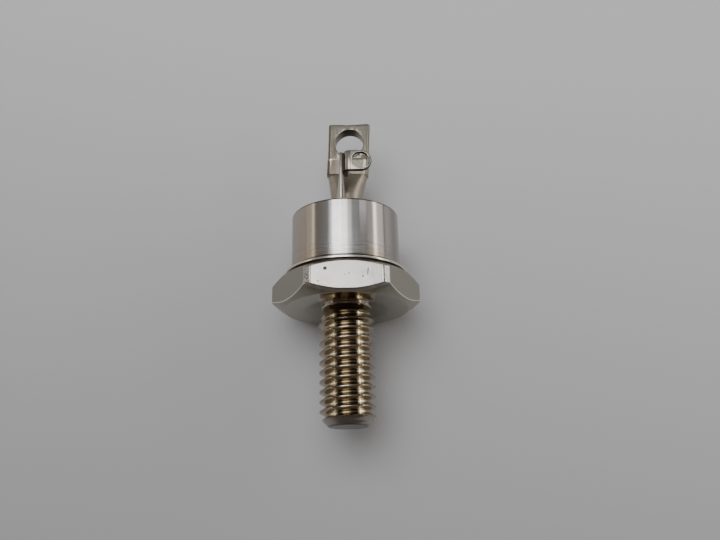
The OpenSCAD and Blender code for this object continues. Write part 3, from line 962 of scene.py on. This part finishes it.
def stepped(low, high, steps=6):
    """Sections of an eased step between two sections."""
    sections = []
    for k in range(steps + 1):
        share = k / steps
        soft = smooth_step(0, 1, share)
        shape = [a + (b - a) * soft for a, b in zip(low[:3], high[:3])]
        sections.append((*shape, low[3] + (high[3] - low[3]) * share))
    return sections


def wedge(diameter, thickness, low, length, exponent, steps=18):
    """Sections from the round tube to the pressed end of its wedge."""
    sections = []
    for k in range(steps + 1):
        share = k / steps
        now = diameter - (diameter - thickness) * share**exponent
        sections.append((pressed_width(diameter, now), now, now / 2, low + length * share))
    return sections


def pressed_ring(width, thickness, corner, up, place, across=False, end_count=18, flat_count=12):
    """Points round a pressed tube: four corners of a radius, joined by flats."""
    ring = []
    run = max(width / 2 - corner, HAIR / 2)
    for side in (1, -1):
        for k in range(end_count):
            angle = math.radians(-90 + 180 * k / (end_count - 1))
            edge = math.copysign(thickness / 2 - corner, angle)
            ring.append((side * (run + corner * math.cos(angle)), side * (edge + corner * math.sin(angle))))
        for k in range(1, flat_count):
            ring.append((side * run * (1 - 2 * k / flat_count), side * thickness / 2))
    if across:
        ring = [(-y, x) for x, y in ring]
    return [place @ Vector((x, y, up)) for x, y in ring]


def tube_mesh(name, outer, inner, place, across=False):
    """A tube from its outer and inner sections, open at its foot and closed at its upper end."""
    def rings(sections):
        width, thickness, _, up = sections[-1]
        closed = (width - thickness, 2 * HAIR, HAIR, up)
        return [pressed_ring(*section, place, across) for section in [*sections, closed]]

    return tidy_mesh(name, *capped(rings(inner)[::-1] + rings(outer)))


def tab_hole_cutter(place):
    """A round punch, stretched upwards a little, with a flared rim at each face of the tab."""
    face, flare = TAB_T / 2, TAB_HOLE_EDGE
    outer = TAB_HOLE_R + flare
    rim = [
        (TAB_HOLE_R + flare * (1 - math.cos(a)), face - flare * (1 - math.sin(a)))
        for a in quarter_angles()
    ]
    section = [(0, -face - PAST), (outer, -face - PAST)]
    section += [(r, -d) for r, d in rim[::-1]] + rim
    section += [(outer, face + PAST), (0, face + PAST)]

    def point(radius, depth, angle):
        across = TAB_HOLE_SHIFT + radius * math.cos(angle)
        return place @ Vector((across, depth, TAB_HOLE_UP + TAB_HOLE_STRETCH * radius * math.sin(angle)))

    rings = [[point(r, d, a) for a in even_angles(96)] for r, d in section]
    return tidy_mesh("punch", *bridged(rings), 1e-8)


def seam_cutter(place):
    """A thin blade for the seam between the two layers at the end of the tab."""
    return tidy_mesh("seam", *capped([
        [place @ Vector((x * SEAM_W / 2, y * SEAM_GAP / 2, up)) for x, y in SQUARE]
        for up in (TAB_END - SEAM_DEPTH, TAB_END + PAST)
    ]))


def uneven_end(mesh, place):
    """Lowers the tab's end as it was cut: even on the left, then a small step and a slow rise."""
    back = place.inverted()
    for point in mesh.vertices:
        spot = back @ point.co
        if spot.z > TAB_END - CUT_ZONE:
            drop = CUT_DROP + CUT_STEP * smooth_step(CUT_STEP_FROM, CUT_STEP_TO, spot.x)
            spot.z -= drop * min(1.0, max(0.0, (CUT_RISE_END - spot.x) / CUT_RISE_LEN))
            point.co = place @ spot


def main_terminal():
    """The main tube: round, pressed to a wedge, pinched shut, and flat with a pierced hole at its end."""
    place = main_line()
    bore_d = TUBE_D - 2 * TUBE_WALL
    ease = TAB_END_EASE
    outer = [(TUBE_D, TUBE_D, TUBE_D / 2, up) for up in (TUBE_FOOT, 0.5)]
    outer += wedge(TUBE_D, WEDGE_T, ROUND_LEN, WEDGE_LEN, WEDGE_EXPONENT)
    outer += stepped(outer[-1], squared_section(PINCH_T, PINCH_START + PINCH_STEP))[1:]
    outer += stepped(squared_section(PINCH_T, PINCH_END - PINCH_STEP), squared_section(TAB_T, PINCH_END))
    for below, trim in ((0.35, 0), (2 * ease, 0), (0.6 * ease, 0.4 * ease), (0, 1.5 * ease)):
        width, *rest = squared_section(TAB_T, TAB_END - below, trim)
        outer.append((width + TAB_FLARE, *rest))
    inner = [(bore_d, bore_d, bore_d / 2, TUBE_FOOT)]
    inner += wedge(bore_d, WEDGE_T - 2 * TUBE_WALL, ROUND_LEN, WEDGE_LEN, WEDGE_EXPONENT)
    mesh = tube_mesh("main_tube", outer, inner, place)
    uneven_end(mesh, place)
    cutters = [tab_hole_cutter(place), seam_cutter(place)]
    finish = terminal_finish()
    return add_piece("main_tube", mesh, finish, ["main_terminal"], cutters, 32)


def gate_stem():
    """The gate tube: round at its foot, pressed to a thin blade, with rounded corners at its end."""
    bore_d = GATE_D - 2 * GATE_WALL
    blade_w = pressed_width(GATE_D, BLADE_T)
    outer = [(GATE_D, GATE_D, GATE_D / 2, up) for up in (GATE_FOOT, 0.5)]
    outer += wedge(GATE_D, BLADE_T, GATE_ROUND_LEN, GATE_WEDGE_LEN, 1.0)
    for angle in quarter_angles():
        width = blade_w - 2 * BLADE_CORNER * (1 - math.cos(angle))
        thick = BLADE_T - BLADE_THINNING * math.sin(angle) ** 6
        outer.append((width, thick, thick / 2, BLADE_END - BLADE_CORNER * (1 - math.sin(angle))))
    inner = [(bore_d, bore_d, bore_d / 2, GATE_FOOT)]
    inner += wedge(bore_d, GATE_SLIT_T, GATE_ROUND_LEN, GATE_WEDGE_LEN - GATE_SOLID_LEN, 1.0)
    mesh = tube_mesh("gate_tube", outer, inner, gate_line(), True)
    return add_piece("gate_tube", mesh, gate_finish(), ["gate_stem"], (), 32)


# Gate lug: an outline on the unrolled strip, bent along the strip's path


def lug_path(along):
    """Point and outward normal (right, back) of the strip's middle at a length along it."""
    mid_r = BEND_R + LUG_T / 2
    centre = Vector((LEG_X + BEND_R + LUG_T, -BEND_FRONT))
    full = math.pi / 2 + FLAG_TURN
    turn = min(max((along - LEG_LEN) / mid_r, 0.0), full)
    normal = Vector((-math.cos(turn), -math.sin(turn)))
    ahead = Vector((math.sin(turn), -math.cos(turn)))
    rest = min(along - LEG_LEN, 0.0) + max(along - LEG_LEN - full * mid_r, 0.0)
    return centre + normal * mid_r + ahead * rest, normal


def lug_point(along, up, depth):
    """A point of the bent strip: along it, up from its lower edge and outwards from its middle."""
    spot, normal = lug_path(along)
    spot = spot + normal * depth
    return row_point(spot.x, LUG_BOTTOM + up, -spot.y)


def inset(loop, amount):
    """A closed loop moved towards its left side by an amount."""
    moved = []
    for i, here in enumerate(loop):
        tangent = loop[(i + 1) % len(loop)] - loop[i - 1]
        left = Vector((-tangent.y, tangent.x)).normalized()
        moved.append(here + left * amount)
    return moved


def lug_loops():
    """Outline of the unrolled strip and of its eye, both with the metal on their left.

    Also gives how many points the leg has on either edge, and how many the bend has.
    """
    bend_len = (math.pi / 2 + FLAG_TURN) * (BEND_R + LUG_T / 2)
    flag = LEG_LEN + bend_len
    bends = [LEG_LEN + bend_len * k / BEND_STEPS for k in range(BEND_STEPS + 1)]
    leg = [(0, LEG_CORNER), (LEG_CORNER_MIDDLE, LEG_CORNER_MIDDLE), (LEG_CORNER, 0), (LEG_MIDDLE, 0)]
    lower = leg + [(s, 0) for s in bends] + [(flag + EYE_REACH * k / 4, 0) for k in (1, 2, 3)]
    upper = [(x, LUG_H - y) for x, y in lower[::-1]]
    eye_x = flag + EYE_REACH
    half_turn = [math.radians(-90 + 5 * k) for k in range(37)]
    round_end = [(eye_x + EYE_R * math.cos(a), EYE_R + EYE_R * math.sin(a)) for a in half_turn]
    eye = [(eye_x + EYE_HOLE_R * math.cos(a), EYE_R - EYE_HOLE_R * math.sin(a)) for a in even_angles(64)]
    outline = [Vector(p) for p in lower + round_end + upper]
    return outline, [Vector(p) for p in eye], len(leg), len(bends)


def ring_edges(first, count):
    """Edges round a closed loop of points."""
    return [(first + i, first + (i + 1) % count) for i in range(count)]


def strip_triangles(flat, outline_size, leg_size, bend_size):
    """Triangles of the unrolled strip between its outline and its eye, with edges across the bend."""
    eye = flat[outline_size:]
    edges = ring_edges(0, outline_size) + ring_edges(outline_size, len(eye))
    edges += [(leg_size + k, outline_size - 1 - leg_size - k) for k in range(bend_size)]
    _, _, triangles, origin, *_ = geometry.delaunay_2d_cdt(flat, edges, [], 1, 1e-6)
    middle = sum(eye, Vector((0, 0))) / len(eye)
    found = []
    for triangle in triangles:
        corners = [origin[i][0] for i in triangle]
        centre = sum((flat[i] for i in corners), Vector((0, 0))) / 3
        if (centre - middle).length > EYE_HOLE_R:
            found.append(tuple(corners))
    return found


def lug_plate():
    """The bent strip: a skin with eased edges round its outline and its eye, and its two faces."""
    outline, eye, leg_size, bend_size = lug_loops()
    half = LUG_T / 2
    layers = [(LUG_EDGE, half), (0.3 * LUG_EDGE, half - 0.3 * LUG_EDGE), (0, half - LUG_EDGE)]
    layers += [(amount, -depth) for amount, depth in layers[::-1]]
    points, faces = [], []
    for amount, depth in layers:
        for loop in (outline, eye):
            points += [lug_point(p.x, p.y, depth) for p in inset(loop, amount)]
    size = len(outline) + len(eye)
    ring = ring_edges(0, len(outline)) + ring_edges(len(outline), len(eye))
    for start in range(0, size * (len(layers) - 1), size):
        faces += [(start + a, start + b, start + b + size, start + a + size) for a, b in ring]
    flat = inset(outline, LUG_EDGE) + inset(eye, LUG_EDGE)
    for corners in strip_triangles(flat, len(outline), leg_size, bend_size):
        faces.append(corners)
        faces.append(tuple(i + (len(layers) - 1) * size for i in reversed(corners)))
    return points, faces


def weld_projection():
    """The short round projection that joins the lug's leg to the blade."""
    left, right = LEG_X - LUG_GAP, LEG_X + WELD_SUNK
    height = LUG_BOTTOM + LUG_H / 2
    return bridged([
        [row_point(x, height + r * math.cos(a), GATE_FRONT + r * math.sin(a)) for a in even_angles(32)]
        for r, x in ((0, left), (WELD_R, left), (WELD_R, right), (0, right))
    ])


def weld_burr():
    """The dark burr of the weld, which fills most of the narrow gap between leg and blade."""
    left, right = LEG_X - LUG_GAP, LEG_X + WELD_SUNK
    corners = ((left, BURR_BACK), (right, BURR_BACK), (right, BURR_FRONT), (left, BURR_FRONT))
    return capped([
        [row_point(x, height, front) for x, front in corners]
        for height in (LUG_BOTTOM + 0.08, LUG_BOTTOM + LUG_H - 0.12)
    ])


def gate_lug():
    """The lug with its weld."""
    mesh = tidy_mesh("bent_lug", *joined([lug_plate(), weld_projection(), weld_burr()]))
    return add_piece("bent_lug", mesh, lug_finish(), ["gate_lug"], (), 50)


# Nodes that keep their CAD solids: finish name, metallic, colour, darker colour, roughness, grains a
# millimetre and their rise
INNER_FINISHES = {
    "weld_ring": ("ring_steel", 1.0, grey(0.4, 0.1), grey(0.25, 0.2), 0.45, 2.0, 0.01),
    "base_solder": ("solder", 1.0, grey(0.5), grey(0.4), 0.4, 3.0, 0.01),
    "anode_disc": ("molybdenum", 1.0, grey(0.4, -0.05), grey(0.34), 0.35, 6.0, 0.003),
    "silicon_pellet": ("silicon", 0.6, grey(0.16, -0.2), grey(0.1, -0.2), 0.2, 2.0, 0.001),
    "junction_coating": ("coating", 0.0, grey(0.72, 0.12), grey(0.6, 0.2), 0.5, 2.0, 0.02),
    "gate_wire": ("drawn_wire", 1.0, grey(0.62), grey(0.52, 0.05), 0.25, 8.0, 0.002),
}
SHARED_FINISHES = {
    "cathode_solder": "base_solder",
    "lead_solder": "base_solder",
    "gate_solder": "base_solder",
    "wire_solder": "base_solder",
    "cathode_disc": "anode_disc",
}


def dress_inner_nodes():
    """Gives a finish to each node that keeps its CAD solid."""
    made = {node: hidden_finish(*row) for node, row in INNER_FINISHES.items()}
    made["inner_lead"] = stranded_finish()
    for node, other in SHARED_FINISHES.items():
        made[node] = made[other]
    for node, material in made.items():
        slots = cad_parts[node].data.materials
        slots.clear()
        slots.append(material)


# Floor, light and camera

FLOOR_HALF = 900
FLOOR_GAP = 0.005
BEYOND_STUD = (0.12, 0.096, 0.08, 1)

# Panels side by side over the part, all at one distance: from and to in degrees to the right of overhead,
# radiance and colour
ROW_DISTANCE = 264
ROW_ALONG = 13.05
ROW_LENGTH = 139
ROW_PANELS = [
    (-34, -27.5, 0.8, (0.97, 0.98, 1.0)),
    (-27.5, -11, 3.9, (0.96, 0.98, 1.01)),
    (-11, 3, 3.3, (0.98, 0.98, 0.98)),
    (3, 12, 1.0, (1.0, 0.98, 0.97)),
    (12, 26, 0.15, (1.0, 0.98, 0.96)),
]

# Other lamps: name, degrees to the right and towards the terminals, distance, width, length, radiance, colour
# and whether it shows in the metal
LAMPS = [
    ("overhead_end", 38, 27, 290, 70, 22, 0.8, (1.0, 0.97, 0.93), True),
    ("left_strip", -71, 10, 260, 22, 380, 1.3, (1.0, 0.95, 0.86), True),
    ("left_wall", -82, 10, 262, 76, 260, 0.4, (1.0, 0.93, 0.84), True),
    ("right_glow", 54, 10, 261, 60, 260, 0.3, (1.0, 0.97, 0.92), True),
    ("right_strip", 65, 10, 260, 30, 380, 3.6, (1.0, 0.97, 0.92), True),
    ("right_wall", 78, 10, 262, 80, 260, 0.8, (1.0, 0.97, 0.93), True),
    ("fill", -12, 10, 300, 300, 300, 1.65, (1.0, 1.0, 1.0), False),
]

# The photograph's camera, fitted to the part's outlines: degrees, and its place along its own axes
CAMERA_ELEVATION = math.radians(70.7119)
CAMERA_YAW = math.radians(-5.0057)
CAMERA_ROLL = math.radians(3.9664)
CAMERA_BACK = 74.4402
CAMERA_RIGHT = 1.4313
CAMERA_UP = 4.3119
CAMERA_LENS, CAMERA_SENSOR = 35.0, 36.0


def pale_floor():
    """A pale sheet, with painted light that falls off towards the stud's end, and painted dark shade far
    beyond it.
    """
    corners = [row_point(x * FLOOR_HALF, y * FLOOR_HALF, -FLAT_FRONT - FLOOR_GAP) for x, y in SQUARE]
    mesh = bpy.data.meshes.new("floor")
    mesh.from_pydata(corners, [], [(0, 1, 2, 3)])
    floor = placed("floor", mesh)
    f = Finish("pale_floor", 0.0)
    # Painted fall-off of light: the floor darkens towards the stud's end and a little to the left
    painted_light_falloff = (f.height + 0.3 * f.x).between(-70, 70)
    tone = f.blend(painted_light_falloff, (0.31, 0.31, 0.315, 1), (0.6, 0.6, 0.607, 1))
    # Painted shade: the floor far beyond the stud's end is dark
    tone = f.blend(f.height.between(-32, -80), tone, BEYOND_STUD)
    floor.data.materials.append(f.paint(tone, 0.9 + 0.05 * f.noise(0.4)))


def soft_light(name, sideways, along, away, width, length, radiance, colour, gloss=True):
    """An area light that faces the part, as bright as a wall of that radiance.

    Its place is given by two angles in degrees from overhead: to the right and towards the terminals.
    """
    light = bpy.data.lights.new(name, "AREA")
    light.shape, light.size, light.size_y = "RECTANGLE", width * MM, length * MM
    light.energy = radiance * math.pi * light.size * light.size_y
    light.color = colour
    lamp = placed(name, light)
    turn = Matrix.Rotation(math.radians(sideways), 3, "Y") @ Matrix.Rotation(math.radians(-along), 3, "X")
    lamp.matrix_world = turn.to_4x4() @ Matrix.Translation((0, 0, away * MM))
    lamp.visible_camera, lamp.visible_glossy = False, gloss


def overhead_row():
    """The panels over the part, each as wide as the gap between its two angles."""
    for number, (low, high, radiance, colour) in enumerate(ROW_PANELS):
        place = ((low + high) / 2, ROW_ALONG, ROW_DISTANCE)
        width = 2 * ROW_DISTANCE * math.tan(math.radians((high - low) / 2))
        soft_light(f"overhead_{number}", *place, width, ROW_LENGTH, radiance, colour)


def studio_world():
    """A plain dim room, darker beyond the stud's end."""
    world = bpy.data.worlds.new("room")
    bpy.context.scene.world = world
    world.use_nodes = True
    n = Nodes(world.node_tree)
    _, along, up = n.split(n.node("ShaderNodeTexCoord", out="Generated"))
    near = n.blend(up.between(0.2, 0.8), BEYOND_STUD, (0.05, 0.042, 0.036, 1))
    far = n.blend(up.between(0.0, 0.9), (0.24, 0.23, 0.22, 1), (0.27, 0.27, 0.28, 1))
    n.feed(n.tree.nodes["Background"].inputs["Color"], n.blend(along.between(-0.2, 0.05), near, far))


def photo_camera():
    """The camera of the photograph, which looks down on the part from the stud's side."""
    back = Vector((
        math.sin(CAMERA_YAW) * math.cos(CAMERA_ELEVATION),
        -math.cos(CAMERA_YAW) * math.cos(CAMERA_ELEVATION),
        math.sin(CAMERA_ELEVATION),
    ))
    level = Vector((math.cos(CAMERA_YAW), math.sin(CAMERA_YAW), 0))
    raised = back.cross(level)
    right = math.cos(CAMERA_ROLL) * level + math.sin(CAMERA_ROLL) * raised
    up = math.cos(CAMERA_ROLL) * raised - math.sin(CAMERA_ROLL) * level
    camera = placed("camera", bpy.data.cameras.new("camera"))
    camera.data.lens, camera.data.sensor_width = CAMERA_LENS, CAMERA_SENSOR
    camera.data.clip_start = MM
    place = (CAMERA_BACK * back + CAMERA_RIGHT * right + CAMERA_UP * up) * MM
    turn = Matrix((right, up, back)).transposed().to_4x4()
    camera.matrix_world = Matrix.Translation(place) @ turn
    bpy.context.scene.camera = camera


photo_camera()
pale_floor()
studio_world()
overhead_row()
for row in LAMPS:
    soft_light(*row)
threaded_base()
drawn_case()
glass_seal()
main_terminal()
gate_stem()
gate_lug()
dress_inner_nodes()
